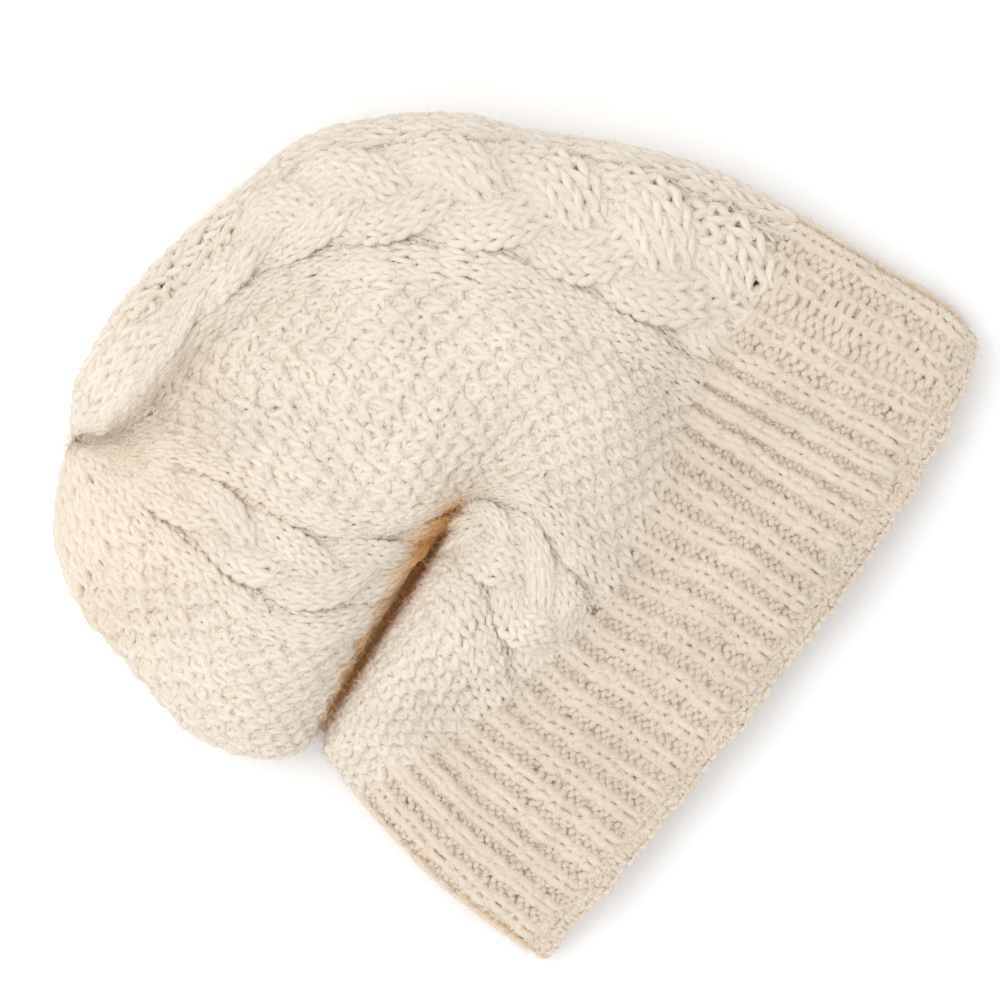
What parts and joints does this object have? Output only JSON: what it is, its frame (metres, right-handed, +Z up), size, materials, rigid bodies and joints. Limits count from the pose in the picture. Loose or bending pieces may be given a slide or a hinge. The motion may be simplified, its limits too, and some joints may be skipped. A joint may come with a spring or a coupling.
{
  "type": "cable knit beanie",
  "caption": "Slouchy cable knit wool beanie lying flat, with a ribbed brim, plaited cable panels, moss stitch and a gathered crown.",
  "frame": {"origin": "middle of the footprint, on the surface that the cap lies on", "axes": "+X out of the mouth, +Y along the hem towards the long side, +Z up from the surface"},
  "size_m": [0.2404, 0.249, 0.0501],
  "materials": {
    "rib_wool": "soft hand-knitted wool, slightly fuzzy",
    "body_wool": "soft hand-knitted wool, slightly fuzzy"
  },
  "bodies": {
    "root": {"cast_on_edge": "rib_wool", "ribbed_brim": "rib_wool", "cable_body": "body_wool", "crown": "body_wool"}
  },
  "joints": []
}
